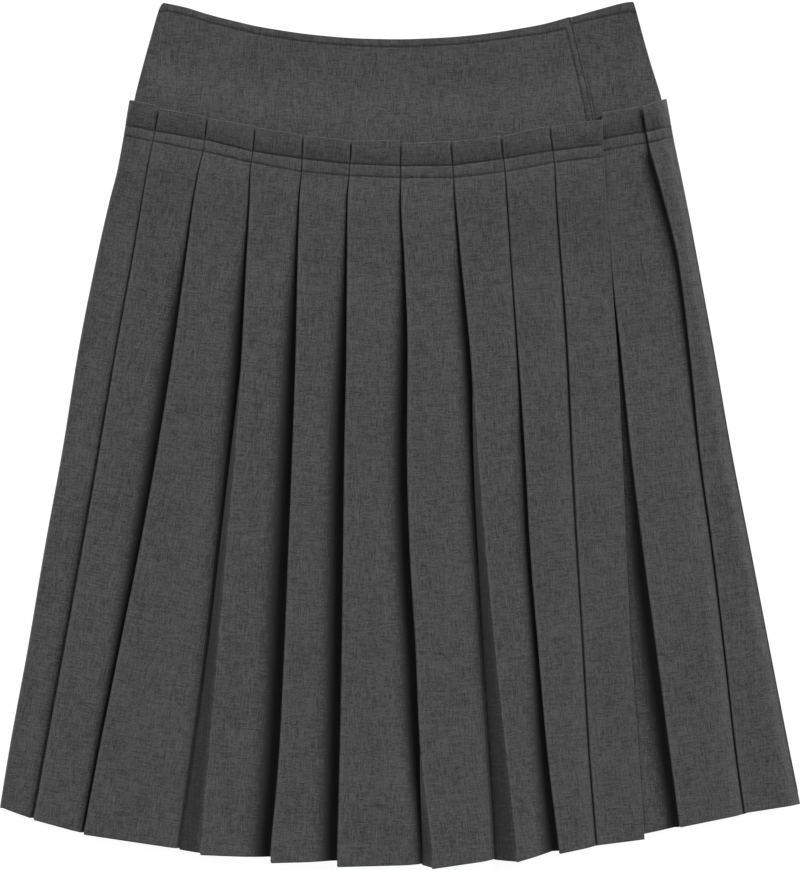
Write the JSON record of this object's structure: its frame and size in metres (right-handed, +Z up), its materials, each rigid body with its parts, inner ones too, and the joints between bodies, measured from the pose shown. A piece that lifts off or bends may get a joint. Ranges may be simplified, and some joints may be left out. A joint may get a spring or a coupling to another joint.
{
  "type": "pleated wrap skirt, laid flat",
  "caption": "Knee-length wrap skirt of grey wool with a smooth shaped yoke and fanning knife pleats under a free-standing frill, laid flat with its front up.",
  "frame": {"origin": "centre of the skirt's outline on the surface it lies on", "axes": "+Z up from the surface, +Y towards the waist, +X to the viewer's right, where the front wraps over"},
  "size_m": [0.6052, 0.6588, 0.0185],
  "materials": {
    "wool": "matt charcoal grey plain weave wool with fine lighter and darker slubs",
    "wool_inside": null
  },
  "bodies": {
    "root": {"front_yoke": "wool", "underlap_yoke": "wool", "back_yoke": "wool_inside", "front_pleats": "wool", "underlap_pleats": "wool", "back_pleats": "wool_inside"}
  },
  "joints": []
}
